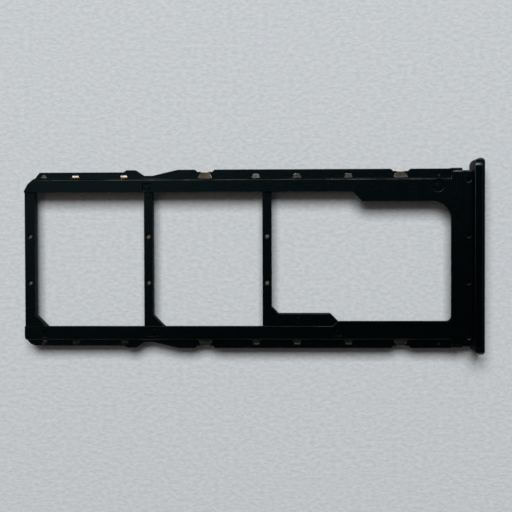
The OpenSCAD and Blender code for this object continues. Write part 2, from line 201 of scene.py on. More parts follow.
def pick_faces(piece: bpy.types.Object, rule: Callable[[bmesh.types.BMFace], bool]) -> int:
    """Selects the faces of a piece in edit mode that a rule accepts.

    Args:
        piece: The object that is in edit mode.
        rule: Says whether a face is wanted.

    Returns:
        How many faces were picked.
    """
    mesh = bmesh.from_edit_mesh(piece.data)
    picked = 0
    for face in mesh.faces:
        wanted = rule(face)
        face.select_set(wanted)
        picked += wanted
    bmesh.update_edit_mesh(piece.data)
    return picked


def join_flats(piece: bpy.types.Object) -> None:
    """Merges the doubled corners of a piece and joins its triangles into flat faces.

    Args:
        piece: The object in object mode.
    """
    enter_edit(piece, "VERT")
    bpy.ops.mesh.select_all(action="SELECT")
    bpy.ops.mesh.remove_doubles(threshold=DOUBLED * MM)
    bpy.ops.mesh.dissolve_limited(angle_limit=math.radians(FLAT_TURN), use_dissolve_boundaries=False)
    leave_edit()


def give_finishes(piece: bpy.types.Object, finishes: Sequence[bpy.types.Material]) -> None:
    """Fills the slots of a piece in order, where the first finish covers it.

    Args:
        piece: The piece to dress.
        finishes: Materials in the order of the slots.
    """
    piece.data.materials.clear()
    for finish in finishes:
        piece.data.materials.append(finish)


def copy_of_node(node: str, name: str, finishes: Sequence[bpy.types.Material]) -> bpy.types.Object:
    """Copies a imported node's mesh, merges its loose triangles and joins the flat ones.

    Args:
        node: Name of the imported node.
        name: Name of the new piece.
        finishes: Materials in the order of the piece's slots, where the first covers it.

    Returns:
        The new piece, in object mode.
    """
    piece = bpy.data.objects.new(name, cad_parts[node].data.copy())
    piece.data.name = name
    bpy.context.scene.collection.objects.link(piece)
    give_finishes(piece, finishes)
    join_flats(piece)
    return piece


def join_to(first: bpy.types.Object, others: list[bpy.types.Object]) -> None:
    """Joins other objects to the first one.

    Args:
        first: The object that stays.
        others: The objects that become part of it.
    """
    take_up(first)
    for other in others:
        other.select_set(True)
    bpy.ops.object.join()


def apply_modifiers(piece: bpy.types.Object) -> None:
    """Applies every modifier of a piece to its mesh.

    Args:
        piece: The object in object mode.
    """
    take_up(piece)
    for modifier in list(piece.modifiers):
        bpy.ops.object.modifier_apply(modifier=modifier.name)


def is_level(face: bmesh.types.BMFace) -> bool:
    """Says whether a face lies flat and isn't part of a rounded edge."""
    return face.material_index != RUBBED and abs(face.normal.z) > LEVEL_NORMAL


def is_wall(face: bmesh.types.BMFace) -> bool:
    """Says whether a face stands upright and isn't part of a rounded edge."""
    return face.material_index != RUBBED and abs(face.normal.z) < WALL_NORMAL


def soften_shading(piece: bpy.types.Object, degrees: float = 40.0) -> None:
    """Shades a piece smooth up to an angle, with its level faces flat right up to the rounded edges.

    Args:
        piece: The finished piece.
        degrees: Edges steeper than this stay crisp.
    """
    kinds: tuple[tuple[str, Callable[[bmesh.types.BMFace], bool]], ...] = (
        ("STRONG", is_level),
        ("MEDIUM", lambda face: face.material_index != RUBBED and not is_level(face)),
        ("WEAK", lambda face: face.material_index == RUBBED),
    )
    enter_edit(piece, "FACE")
    for strength, rule in kinds:
        pick_faces(piece, rule)
        bpy.ops.mesh.mod_weighted_strength(set=True, face_strength=strength)
    bpy.ops.mesh.select_all(action="SELECT")
    bpy.ops.mesh.faces_shade_smooth()
    bpy.ops.mesh.select_mode(type="EDGE")
    pick_edges(piece, lambda edge: edge.calc_face_angle(0.0) > math.radians(degrees))
    bpy.ops.mesh.mark_sharp()
    leave_edit()
    weighted = piece.modifiers.new("even_normals", "WEIGHTED_NORMAL")
    weighted.keep_sharp = True
    weighted.use_face_influence = True
    apply_modifiers(piece)
    enter_edit(piece, "FACE")
    pick_faces(piece, is_level)
    bpy.ops.mesh.set_normals_from_faces(keep_sharp=True)
    leave_edit()


def round_edges(piece: bpy.types.Object, width_at: Callable[[bmesh.types.BMEdge], float],
                segments: int) -> None:
    """Weighs the edges of a piece and rounds them all at once, so that roundings of different widths meet.

    Args:
        piece: The object in object mode.
        width_at: Gives the width of the rounding that an edge gets, in millimetres, or 0.
        segments: Faces across a rounding.
    """
    enter_edit(piece)
    widths = {width_at(edge) for edge in bmesh.from_edit_mesh(piece.data).edges}
    for width in sorted(widths - {0.0}):
        picked = pick_edges(piece, lambda edge: width_at(edge) == width)
        bpy.ops.transform.edge_bevelweight(value=width / WIDEST)
        LOG.info("%s: %d edges of %.3f mm", piece.name, picked, width)
    leave_edit()
    rounding = piece.modifiers.new("rounding", "BEVEL")
    rounding.limit_method = "WEIGHT"
    rounding.width = WIDEST * MM
    rounding.segments = segments
    rounding.use_clamp_overlap = False
    rounding.loop_slide = False
    rounding.material = RUBBED
    apply_modifiers(piece)


def is_crest(edge: bmesh.types.BMEdge, least: float = 30.0) -> bool:
    """Says whether an edge is an outer corner of the solid that is steeper than an angle in degrees."""
    return edge.is_manifold and edge.is_convex and edge.calc_face_angle() > math.radians(least)


def near(value: float, target: float) -> bool:
    """Says whether two places along an axis, in metres, are the same place."""
    return abs(value - target) < SLACK * MM


def level_edge(edge: bmesh.types.BMEdge, height: float) -> bool:
    """Says whether both ends of an edge lie at a height in metres."""
    return all(near(vertex.co.z, height) for vertex in edge.verts)


def refill_level(piece: bpy.types.Object, height: float) -> None:
    """Fills a level of the piece in edit mode afresh, so that no face there folds over a rounded edge.

    Args:
        piece: The object that is in edit mode.
        height: The level in metres along Z.
    """
    pick_faces(piece, lambda face: all(near(vertex.co.z, height) for vertex in face.verts))
    bpy.ops.mesh.delete(type="FACE")
    pick_edges(piece, lambda edge: edge.is_boundary and level_edge(edge, height))
    bpy.ops.mesh.fill(use_beauty=True)


def finish_faces(piece: bpy.types.Object, slot: int, rule: Callable[[bmesh.types.BMFace], bool]) -> None:
    """Gives some faces of a piece the finish of one of its slots.

    Args:
        piece: The object in object mode.
        slot: Number of the slot.
        rule: Says whether a face is wanted.
    """
    enter_edit(piece, "FACE")
    picked = pick_faces(piece, rule)
    piece.active_material_index = slot
    bpy.ops.object.material_slot_assign()
    leave_edit()
    LOG.info("%s: %d faces in slot %d", piece.name, picked, slot)


def hand_over(piece: bpy.types.Object, node: str) -> None:
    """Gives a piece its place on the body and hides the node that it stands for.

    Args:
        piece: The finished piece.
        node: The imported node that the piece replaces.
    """
    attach(piece, BODY)
    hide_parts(node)
    LOG.info("%s: %d faces", piece.name, len(piece.data.polygons))


class Recipe:
    """A material's node tree under construction."""

    def __init__(self, name: str) -> None:
        """Starts a material with its surface shader and its object coordinates.

        Args:
            name: Name of the material.
        """
        self.material = bpy.data.materials.new(name)
        self.material.use_nodes = True
        self.tree = self.material.node_tree
        self.shader = self.tree.nodes["Principled BSDF"]
        self.place = self.node("ShaderNodeTexCoord").outputs["Object"]

    def node(self, kind: str, **values: object) -> bpy.types.Node:
        """Adds a node and sets its plain properties.

        Args:
            kind: Type of the node.
            values: Properties of the node by name.

        Returns:
            The new node.
        """
        node = self.tree.nodes.new(kind)
        for name, value in values.items():
            setattr(node, name, value)
        return node

    def link(self, source: bpy.types.NodeSocket, target: bpy.types.NodeSocket) -> None:
        """Joins an output to an input."""
        self.tree.links.new(source, target)

    def noise(self, grain: float, detail: float = 2.0, stretch: Stretch = UNSTRETCHED,
              contrast: float = 0.5) -> bpy.types.NodeSocket:
        """Adds cloudy noise.

        Args:
            grain: Size of its cells in millimetres.
            detail: Octaves of finer noise in it.
            stretch: Scale along each axis, where less than 1 draws it out.
            contrast: Roughness of the finer octaves.

        Returns:
            The value of the noise.
        """
        mapping = self.node("ShaderNodeMapping")
        mapping.inputs["Scale"].default_value = stretch
        self.link(self.place, mapping.inputs["Vector"])
        noise = self.node("ShaderNodeTexNoise")
        noise.inputs["Scale"].default_value = 1.0 / (grain * MM)
        noise.inputs["Detail"].default_value = detail
        noise.inputs["Roughness"].default_value = contrast
        self.link(mapping.outputs["Vector"], noise.inputs["Vector"])
        return noise.outputs["Fac"]

    def spread(self, value: bpy.types.NodeSocket, span: Span, onto: Span = WHOLE) -> bpy.types.NodeSocket:
        """Stretches a value from one range to another.

        Args:
            value: The value to stretch.
            span: The range that it comes in.
            onto: What the ends of that range become.

        Returns:
            The stretched value.
        """
        ramp = self.node("ShaderNodeMapRange")
        for name, number in zip(("From Min", "From Max", "To Min", "To Max"), (*span, *onto)):
            ramp.inputs[name].default_value = number
        self.link(value, ramp.inputs["Value"])
        return ramp.outputs["Result"]

    def blend(self, share: bpy.types.NodeSocket, first: Colour | bpy.types.NodeSocket,
              second: Colour | bpy.types.NodeSocket) -> bpy.types.NodeSocket:
        """Mixes two colours.

        Args:
            share: How much of the second colour shows.
            first: The colour at 0, as numbers or as a socket.
            second: The colour at 1, as numbers or as a socket.

        Returns:
            The mixed colour.
        """
        mix = self.node("ShaderNodeMix", data_type="RGBA")
        self.link(share, mix.inputs["Factor"])
        for name, colour in (("A", first), ("B", second)):
            socket = next(s for s in mix.inputs if s.name == name and s.type == "RGBA")
            if isinstance(colour, tuple):
                socket.default_value = (*colour, 1.0)
            else:
                self.link(colour, socket)
        return next(s for s in mix.outputs if s.type == "RGBA")

    def bump(self, value: bpy.types.NodeSocket, depth: float,
             below: bpy.types.Node | None = None) -> bpy.types.Node:
        """Raises the surface by a value.

        Args:
            value: The height, from 0 to 1.
            depth: The full height in micrometres.
            below: An earlier bump that this one is added to.

        Returns:
            The bump node.
        """
        bump = self.node("ShaderNodeBump")
        bump.inputs["Distance"].default_value = depth * MICRON
        bump.inputs["Strength"].default_value = 1.0
        self.link(value, bump.inputs["Height"])
        if below:
            self.link(below.outputs["Normal"], bump.inputs["Normal"])
        return bump

    def finish(self, bump: bpy.types.Node, **values: float | Colour) -> bpy.types.Material:
        """Links the surface's bump and sets the shader's plain values.

        Args:
            bump: The last bump node.
            values: Numbers or colours for the shader's sockets, by their names with underscores
                for spaces.

        Returns:
            The finished material.
        """
        self.link(bump.outputs["Normal"], self.shader.inputs["Normal"])
        for name, value in values.items():
            plain = (*value, 1.0) if isinstance(value, tuple) else value
            self.shader.inputs[name.replace("_", " ")].default_value = plain
        return self.material


@dataclass(frozen=True)
class MouldedBlack:
    """Glass-filled black plastic with a fine grain, as the mould left it or rubbed smooth.

    Sizes of grain are in millimetres and depths in micrometres. The spans are the ranges of the
    noise over which a pattern comes in, and dull_patches is the share of the sheen that is lost.
    """

    name: str
    dark: Colour
    light: Colour
    roughness: Span
    grain_depth: float
    sheen: float
    sheen_tint: Colour = WHITE
    dull_patches: float = 0.0
    cloud_size: float = 2.2
    cloud_span: Span = (0.35, 0.68)
    speckle_size: float = 0.09
    fleck_span: Span = (0.58, 0.74)
    fleck_gain: float = 7.0
    rub_size: float = 0.05
    rub_stretch: Stretch = (0.06, 1.0, 1.0)
    rub_depth: float = 0.5
    patch_size: float = 0.7
    patch_stretch: Stretch = (0.4, 1.0, 1.0)
    patch_span: Span = (0.42, 0.62)
    refraction: float = 1.5

    def material(self) -> bpy.types.Material:
        """Builds the material.

        Returns:
            The finished material.
        """
        recipe = Recipe(self.name)
        clouds = recipe.noise(self.cloud_size, detail=3.0)
        speckle = recipe.noise(self.speckle_size, contrast=0.7)
        rubbed = recipe.noise(self.rub_size, 1.0, self.rub_stretch)
        body = recipe.blend(recipe.spread(clouds, self.cloud_span), self.dark, self.light)
        fleck = recipe.spread(speckle, self.fleck_span)
        flecked = recipe.blend(fleck, body, tuple(self.fleck_gain * part for part in self.light))
        recipe.link(flecked, recipe.shader.inputs["Base Color"])
        recipe.link(recipe.spread(rubbed, MIDDLE, self.roughness), recipe.shader.inputs["Roughness"])
        if self.dull_patches:
            patches = recipe.noise(self.patch_size, 3.0, self.patch_stretch)
            least = self.sheen * (1.0 - self.dull_patches)
            sheen = recipe.spread(patches, self.patch_span, (least, self.sheen))
            recipe.link(sheen, recipe.shader.inputs["Specular IOR Level"])
        grain = recipe.bump(speckle, self.grain_depth)
        return recipe.finish(
            recipe.bump(rubbed, self.rub_depth, grain),
            IOR=self.refraction, Specular_IOR_Level=self.sheen, Specular_Tint=self.sheen_tint,
        )


@dataclass(frozen=True)
class RolledSteel:
    """Bright stainless sheet with the fine lines of rolling.

    Sizes of grain are in millimetres and depths in micrometres.
    """

    name: str
    bright: Colour
    dull: Colour
    roughness: Span
    line_depth: float
    line_size: float = 0.03
    line_stretch: Stretch = (0.05, 1.0, 1.0)
    patch_size: float = 0.4
    patch_span: Span = (0.4, 0.65)

    def material(self) -> bpy.types.Material:
        """Builds the material.

        Returns:
            The finished material.
        """
        recipe = Recipe(self.name)
        lines = recipe.noise(self.line_size, stretch=self.line_stretch)
        patches = recipe.noise(self.patch_size, detail=3.0)
        tone = recipe.blend(recipe.spread(patches, self.patch_span), self.bright, self.dull)
        recipe.link(tone, recipe.shader.inputs["Base Color"])
        recipe.link(recipe.spread(lines, MIDDLE, self.roughness), recipe.shader.inputs["Roughness"])
        return recipe.finish(recipe.bump(lines, self.line_depth), Metallic=1.0)


@dataclass(frozen=True)
class SatinCover:
    """Blue-black satin coat of the cover plate.

    Sizes of grain are in millimetres and depths in micrometres.
    """

    name: str
    dark: Colour
    light: Colour
    roughness: Span
    sheen: float
    sheen_tint: Colour = WHITE
    mottle_size: float = 0.5
    mottle_span: Span = (0.4, 0.62)
    speckle_size: float = 0.06
    speckle_depth: float = 1.5
    refraction: float = 1.5

    def material(self) -> bpy.types.Material:
        """Builds the material.

        Returns:
            The finished material.
        """
        recipe = Recipe(self.name)
        mottle = recipe.noise(self.mottle_size, detail=4.0, contrast=0.6)
        speckle = recipe.noise(self.speckle_size, contrast=0.7)
        tone = recipe.blend(recipe.spread(mottle, self.mottle_span), self.dark, self.light)
        recipe.link(tone, recipe.shader.inputs["Base Color"])
        recipe.link(recipe.spread(speckle, MIDDLE, self.roughness), recipe.shader.inputs["Roughness"])
        return recipe.finish(
            recipe.bump(speckle, self.speckle_depth),
            IOR=self.refraction, Specular_IOR_Level=self.sheen, Specular_Tint=self.sheen_tint,
        )


@dataclass(frozen=True)
class PaleSheet:
    """The pale sheet of paper that the tray lies on.

    The size of its fibres is in millimetres and their depth in micrometres.
    """

    name: str
    tone: Colour
    shade: Colour
    fibre_size: float = 0.42
    fibre_stretch: Stretch = (1.0, 1.4, 1.0)
    fibre_span: Span = (0.35, 0.65)
    fibre_depth: float = 75.0
    roughness: float = 0.9

    def material(self) -> bpy.types.Material:
        """Builds the material.

        Returns:
            The finished material.
        """
        recipe = Recipe(self.name)
        fibre = recipe.noise(self.fibre_size, 4.0, self.fibre_stretch, contrast=0.62)
        tone = recipe.blend(recipe.spread(fibre, self.fibre_span), self.shade, self.tone)
        recipe.link(tone, recipe.shader.inputs["Base Color"])
        return recipe.finish(recipe.bump(fibre, self.fibre_depth), Roughness=self.roughness)


@dataclass(frozen=True)
class MouldMark:
    """A round mark in the underside of the moulding, in millimetres."""

    station: float
    across: float
    radius: float = 0.28
    depth: float = 0.03


@dataclass
class MouldedFrame:
    """The black moulding: rails, bars, ledges, wings and neck, with softened edges.

    Lengths are in millimetres. An edge of the bars' level that is shorter than hole_step belongs
    to a round hole, and hole_lead is the rounding there. The ejector pins left their marks at
    pin_stations, pin_across from the middle on both sides. The gate's nub ends nub_drop above the
    underside, and end_slack is how far an edge may pass the stations of its side.
    """

    plan: TrayPlan
    edge_round: float = 0.035
    ledge_end_round: float = 0.35
    neck_end_round: float = 0.10
    hole_lead: float = 0.07
    hole_step: float = 0.03
    rail_round: float = 0.045
    pin_stations: tuple[float, ...] = (3.2, 7.0, 13.2, 17.6, 23.8, 28.6, 33.4)
    pin_across: float = 6.62
    gate: MouldMark = MouldMark(35.62, 0.0, 0.28, 0.10)
    gate_nub: MouldMark = MouldMark(35.62, 0.0, 0.10, 0.20)
    nub_drop: float = 0.03
    end_slack: float = 0.01
    round_steps: int = 4
    mark_sides: int = 32
    finishes: tuple[MouldedBlack, ...] = (
        MouldedBlack("grained_black", dark=(0.0001, 0.0002, 0.0003), light=(0.0002, 0.0005, 0.0007),
                     roughness=(0.21, 0.28), grain_depth=1.2, sheen=0.075, sheen_tint=(0.42, 0.86, 1.0)),
        MouldedBlack("rubbed_black", dark=(0.0006, 0.0012, 0.0014), light=(0.0014, 0.0024, 0.0026),
                     roughness=(0.22, 0.30), grain_depth=1.0, sheen=0.24, dull_patches=0.75),
        MouldedBlack("wall_black", dark=(0.0002, 0.0005, 0.0007), light=(0.0005, 0.0010, 0.0012),
                     roughness=(0.7, 0.8), grain_depth=1.2, sheen=0.1),
    )

    def build(self) -> bpy.types.Object:
        """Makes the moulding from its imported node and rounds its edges.

        Returns:
            The finished piece, not dressed yet.
        """
        materials = [finish.material() for finish in self.finishes]
        piece = copy_of_node("moulded_frame", "frame_moulding", materials)
        round_edges(piece, self.width_at, self.round_steps)
        enter_edit(piece)
        refill_level(piece, self.plan.level(Height.RAIL_TOP))
        leave_edit()
        self.sink_marks(piece)
        finish_faces(piece, WALLS, is_wall)
        soften_shading(piece)
        return piece

    def sink_marks(self, piece: bpy.types.Object) -> None:
        """Sinks the marks of the ejector pins and of the gate into the underside, and leaves the gate's nub.

        Args:
            piece: The moulding with its rounded edges.
        """
        pins = [MouldMark(station, side * self.pin_across) for station in self.pin_stations for side in SIDES]
        cutter, *others = [self.mark_disc(mark) for mark in (*pins, self.gate)]
        join_to(cutter, others)
        cut = piece.modifiers.new("mould_marks", "BOOLEAN")
        cut.operation = "DIFFERENCE"
        cut.solver = "EXACT"
        cut.object = cutter
        apply_modifiers(piece)
        bpy.data.objects.remove(cutter)
        nub = self.mark_disc(self.gate_nub)
        give_finishes(nub, list(piece.data.materials))
        bpy.ops.transform.translate(value=(0.0, 0.0, (self.gate_nub.depth + self.nub_drop) * MM))
        bpy.ops.object.transform_apply(location=True, rotation=True, scale=True)
        join_to(piece, [nub])

    def mark_disc(self, mark: MouldMark) -> bpy.types.Object:
        """Adds a disc with its middle in the plane of the underside.

        Args:
            mark: Place, radius and depth of the mark.

        Returns:
            The disc, twice as thick as the mark is deep.
        """
        plan = self.plan
        place = (plan.x(mark.station), plan.y(mark.across), plan.level(Height.UNDERSIDE))
        deselect_everything()
        bpy.ops.mesh.primitive_cylinder_add(
            vertices=self.mark_sides, radius=mark.radius * MM, depth=2.0 * mark.depth * MM, location=place)
        return bpy.context.object

    def width_at(self, edge: bmesh.types.BMEdge) -> float:
        """Gives the width of the rounding on an edge.

        Args:
            edge: An edge of the plain moulding.

        Returns:
            The width in millimetres, or 0 where the edge stays sharp.
        """
        plan = self.plan
        steel = (plan.level(Height.STEEL_BOTTOM), plan.level(Height.STEEL_TOP))
        if not is_crest(edge) or any(near(vertex.co.z, level) for vertex in edge.verts for level in steel):
            return 0.0
        if any(
            self.is_end(edge, across, Height.RAIL_TOP, plan.front_ledge, plan.neck)
            for across in (plan.wing_edge, plan.ledge_edge)
        ):
            return self.ledge_end_round
        if self.is_end(edge, plan.neck_edge, Height.BAR_TOP, plan.neck, plan.cover):
            return self.neck_end_round
        if self.is_chamfer(edge):
            return self.rail_round
        if level_edge(edge, plan.level(Height.BAR_TOP)) and edge.calc_length() < self.hole_step * MM:
            return self.hole_lead
        return self.edge_round

    def is_end(self, edge: bmesh.types.BMEdge, across: float, level: Height,
               start: float, end: float) -> bool:
        """Says whether an edge runs along a side of the frame between two stations.

        Args:
            edge: The edge.
            across: Distance of the side from the middle, in millimetres.
            level: Level of the edge.
            start: First station, in millimetres.
            end: Last station, in millimetres.

        Returns:
            True where the whole edge lies there.
        """
        plan = self.plan
        first, second = (vertex.co for vertex in edge.verts)
        return level_edge(edge, plan.level(level)) and near(first.y, second.y) and all(
            near(plan.off_middle(place), across * MM)
            and plan.x(start - self.end_slack) < place.x < plan.x(end + self.end_slack)
            for place in (first, second)
        )

    def is_chamfer(self, edge: bmesh.types.BMEdge) -> bool:
        """Says whether an edge is one of the two long corners of a rail's chamfer.

        Args:
            edge: The edge.

        Returns:
            True for either corner, on either rail.
        """
        plan = self.plan
        corners = (
            (plan.rail_edge, plan.z(Height.RAIL_TOP.value - plan.rail_chamfer)),
            (plan.rail_edge - plan.rail_chamfer, plan.level(Height.RAIL_TOP)),
        )
        return any(
            level_edge(edge, height) and all(near(plan.off_middle(v.co), across * MM) for v in edge.verts)
            for across, height in corners
        )

    def dress(self, piece: bpy.types.Object) -> None:
        """Puts the moulding on the body in place of its plain node."""
        hand_over(piece, "moulded_frame")


@dataclass(frozen=True)
class SteelPad:
    """A place where the steel shows in a wing, pressed to slope across the wing.

    Lengths are in millimetres: the width at the rail and at the tip, the distance from the rail to
    the pad, its depth across the wing and the rise of its outer edge above the sheet. The slope is
    in degrees on the keyed side, above 0 where the pad falls towards the edge of the wing.
    """

    station: float
    base: float
    tip: float
    start: float
    depth: float
    slope: float
    lip: float


@dataclass(frozen=True)
class PaintedShadeDisc:
    """A darkened round disc through the steel, in millimetres, and the slot of its finish; its dark steel is
    painted shade on the floor of the hole over it.
    """

    station: float
    across: float
    radius: float = 0.165
    slot: int = PAINTED_SHADE


@dataclass
class SteelInsert:
    """The stamped steel ladder inside the moulding, with its carrier tabs and pressed pads.

    Lengths are in millimetres. A pad has the slope of its own row on the keyed side of the tray
    and plain_side_slope on the plain side, both in degrees, and its edges are rounded where they
    are steeper than pad_crest. The shade discs stand disc_rise off both faces of the sheet, and
    their darkened steel is painted shade on the floors of the holes over them.
    """

    plan: TrayPlan
    edge_round: float = 0.015
    edge_steps: int = 2
    pad_steps: int = 3
    pad_crest: float = 15.0
    # Station, width at the rail and at the tip, start, depth, slope and lip of each pad
    pads: tuple[SteelPad, ...] = (
        SteelPad(1.53, 0.42, 0.34, 0.12, 0.20, -6.5, 0.05),
        SteelPad(4.12, 0.66, 0.62, 0.09, 0.26, -8.0, 0.06),
        SteelPad(4.12, 0.58, 0.52, 0.10, 0.14, 1.0, 0.09),
        SteelPad(8.05, 0.66, 0.62, 0.09, 0.26, -8.0, 0.06),
        SteelPad(8.05, 0.58, 0.50, 0.10, 0.14, 1.0, 0.09),
        SteelPad(14.62, 1.10, 0.62, 0.02, 0.48, -7.0, 0.08),
        SteelPad(18.75, 0.66, 0.50, 0.02, 0.32, -4.5, 0.06),
        SteelPad(22.05, 0.64, 0.48, 0.02, 0.32, -8.0, 0.07),
        SteelPad(26.20, 0.64, 0.48, 0.02, 0.32, -8.0, 0.07),
        SteelPad(30.40, 1.10, 0.62, 0.02, 0.48, -7.0, 0.08),
    )
    plain_side_slope: float = 12.0
    shade_discs: tuple[PaintedShadeDisc, ...] = (
        PaintedShadeDisc(0.42, 1.88),
        PaintedShadeDisc(10.06, 1.88),
        PaintedShadeDisc(19.645, 1.88),
        # This disc paints deeper shade in the small round window of each wing
        PaintedShadeDisc(33.43, 6.76, 0.125, DEEP_PAINTED_SHADE),
    )
    disc_rise: float = 0.01
    disc_sides: int = 24
    finishes: tuple[RolledSteel, ...] = (
        RolledSteel("rolled_steel", bright=(0.46, 0.42, 0.35), dull=(0.31, 0.27, 0.22),
                    roughness=(0.20, 0.28), line_depth=0.6),
        RolledSteel("worn_steel_rims", bright=(0.34, 0.32, 0.28), dull=(0.24, 0.22, 0.19),
                    roughness=(0.24, 0.34), line_depth=1.0),
        # Painted shade: darkened steel for the floors of the pin holes and for the pads of the plain side
        RolledSteel("painted_shade_steel", bright=(0.115, 0.107, 0.09), dull=(0.068, 0.062, 0.053),
                    roughness=(0.40, 0.50), line_depth=0.6),
        # Painted shade: nearly black steel for the floor of the small round window in each wing
        RolledSteel("deep_painted_shade_steel", bright=(0.012, 0.010, 0.008), dull=(0.007, 0.006, 0.005),
                    roughness=(0.40, 0.50), line_depth=0.6),
    )

    def build(self) -> bpy.types.Object:
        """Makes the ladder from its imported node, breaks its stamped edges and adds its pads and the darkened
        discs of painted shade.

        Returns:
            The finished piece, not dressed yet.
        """
        materials = [finish.material() for finish in self.finishes]
        ladder = copy_of_node("steel_insert", "steel_ladder", materials)
        round_edges(ladder, lambda edge: self.edge_round if is_crest(edge) else 0.0, self.edge_steps)
        pressed = [self.press_pad(pad, side, materials) for pad in self.pads for side in SIDES]
        shade_drums = [self.shade_disc(mark, side, materials) for mark in self.shade_discs for side in SIDES]
        join_to(ladder, pressed + shade_drums)
        soften_shading(ladder)
        return ladder

    def shade_disc(self, mark: PaintedShadeDisc, side: float,
                  materials: Sequence[bpy.types.Material]) -> bpy.types.Object:
        """Models a darkened disc through the sheet, whose dark steel is painted shade on the floor of the hole
        over it.

        Args:
            mark: Place, radius and slot of the disc.
            side: 1 for the keyed side of the tray, -1 for the plain side.
            materials: Materials of the ladder's slots.

        Returns:
            A thin drum through the sheet, to be joined to the ladder.
        """
        low, high = Height.STEEL_BOTTOM.value, Height.STEEL_TOP.value
        thickness = high - low + 2.0 * self.disc_rise
        place = (self.plan.x(mark.station), self.plan.y(side * mark.across), self.plan.z((low + high) / 2))
        deselect_everything()
        bpy.ops.mesh.primitive_cylinder_add(
            vertices=self.disc_sides, radius=mark.radius * MM, depth=thickness * MM, location=place)
        drum = bpy.context.object
        give_finishes(drum, materials)
        bpy.ops.object.transform_apply(location=True, rotation=True, scale=True)
        finish_faces(drum, mark.slot, lambda face: True)
        return drum

    def press_pad(self, pad: SteelPad, side: float,
                  materials: Sequence[bpy.types.Material]) -> bpy.types.Object:
        """Models one pad from a block that is narrower at its tip and slopes across the wing.

        Args:
            pad: Its place and sizes.
            side: 1 for the keyed side of the tray, -1 for the plain side.
            materials: Materials of the ladder's slots.

        Returns:
            The pad, to be joined to the ladder.
        """
        plan = self.plan
        root, floor = plan.y(side * (plan.rail_edge + pad.start)), plan.level(Height.STEEL_TOP)
        middle = Vector((plan.x(pad.station), root + side * pad.depth * MM / 2, floor))
        rise = pad.depth * math.tan(math.radians(pad.slope if side > 0.0 else self.plain_side_slope))
        deselect_everything()
        bpy.ops.mesh.primitive_cube_add(size=MM, location=middle, scale=(pad.base, pad.depth, pad.lip * 2))
        piece = bpy.context.object
        give_finishes(piece, materials)
        bpy.ops.object.transform_apply(location=True, rotation=True, scale=True)
        enter_edit(piece, "VERT")
        self.pick_corners(piece, lambda place: abs(place.y - root) > pad.depth * MM / 2)
        bpy.ops.transform.resize(value=(pad.tip / pad.base, 1.0, 1.0), center_override=middle)
        self.pick_corners(piece, lambda place: abs(place.y - root) < pad.depth * MM / 2 and place.z > floor)
        bpy.ops.transform.translate(value=(0.0, 0.0, rise * MM))
        leave_edit()
        if side < 0.0:
            # Painted shade: the pads of the plain side, in the rail's shade, take the darkened steel of the
            # pin holes
            finish_faces(piece, PAINTED_SHADE, lambda face: True)
        round_edges(
            piece, lambda edge: self.edge_round if is_crest(edge, self.pad_crest) else 0.0, self.pad_steps)
        return piece

    @staticmethod
    def pick_corners(piece: bpy.types.Object, rule: Callable[[Vector], bool]) -> None:
        """Selects the corners of a piece in edit mode whose places a rule accepts.

        Args:
            piece: The object that is in edit mode.
            rule: Says whether a corner at a place is wanted.
        """
        mesh = bmesh.from_edit_mesh(piece.data)
        for vertex in mesh.verts:
            vertex.select_set(rule(vertex.co))
        mesh.select_flush_mode()
        bmesh.update_edit_mesh(piece.data)

    def dress(self, piece: bpy.types.Object) -> None:
        """Puts the ladder on the body in place of its plain node."""
        hand_over(piece, "steel_insert")


